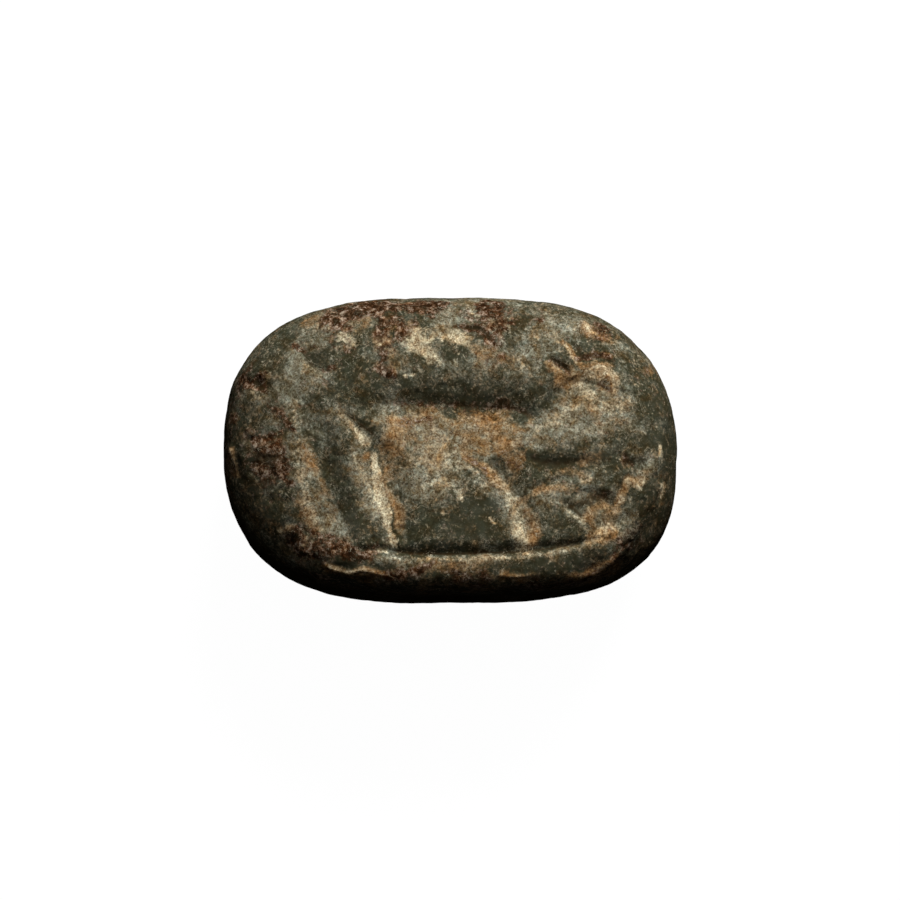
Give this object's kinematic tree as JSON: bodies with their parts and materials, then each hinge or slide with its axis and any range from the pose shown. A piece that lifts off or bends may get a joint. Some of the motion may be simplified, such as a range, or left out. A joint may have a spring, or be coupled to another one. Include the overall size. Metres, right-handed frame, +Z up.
{
  "type": "stamp seal",
  "caption": "Worn cushion-shaped stone stamp seal, pierced lengthwise for a cord, its face cut in intaglio with a horned animal on a ground line, with earth and crust left on it.",
  "frame": {"origin": "middle of the flat on the back that the seal lies on", "axes": "+X along the seal's length and its cord hole, +Y towards the top of the engraved picture, +Z up out of the engraved face"},
  "size_m": [0.025, 0.0164, 0.0112],
  "materials": {
    "stone": "dark olive-green stone, worn satin polish",
    "silt": "matt grey-tan earth, fine grained",
    "lime": "matt pale chalky lime",
    "iron_crust": "matt red-brown iron crust, granular"
  },
  "bodies": {
    "root": {"seal_stone": "stone", "silt_in_body": "silt", "silt_in_hind_leg": "silt", "silt_in_tail": "silt", "silt_in_foreleg": "silt", "silt_in_neck": "silt", "silt_in_head": "silt", "silt_in_low_hollow": "silt", "lime_in_mark": "lime", "iron_crust_top_left": "iron_crust", "iron_crust_upper": "iron_crust", "iron_crust_top": "iron_crust", "iron_crust_shoulder": "iron_crust", "iron_crust_left": "iron_crust", "iron_crust_flank": "iron_crust", "iron_crust_lower_left": "iron_crust", "iron_crust_lower_right": "iron_crust"}
  },
  "joints": []
}
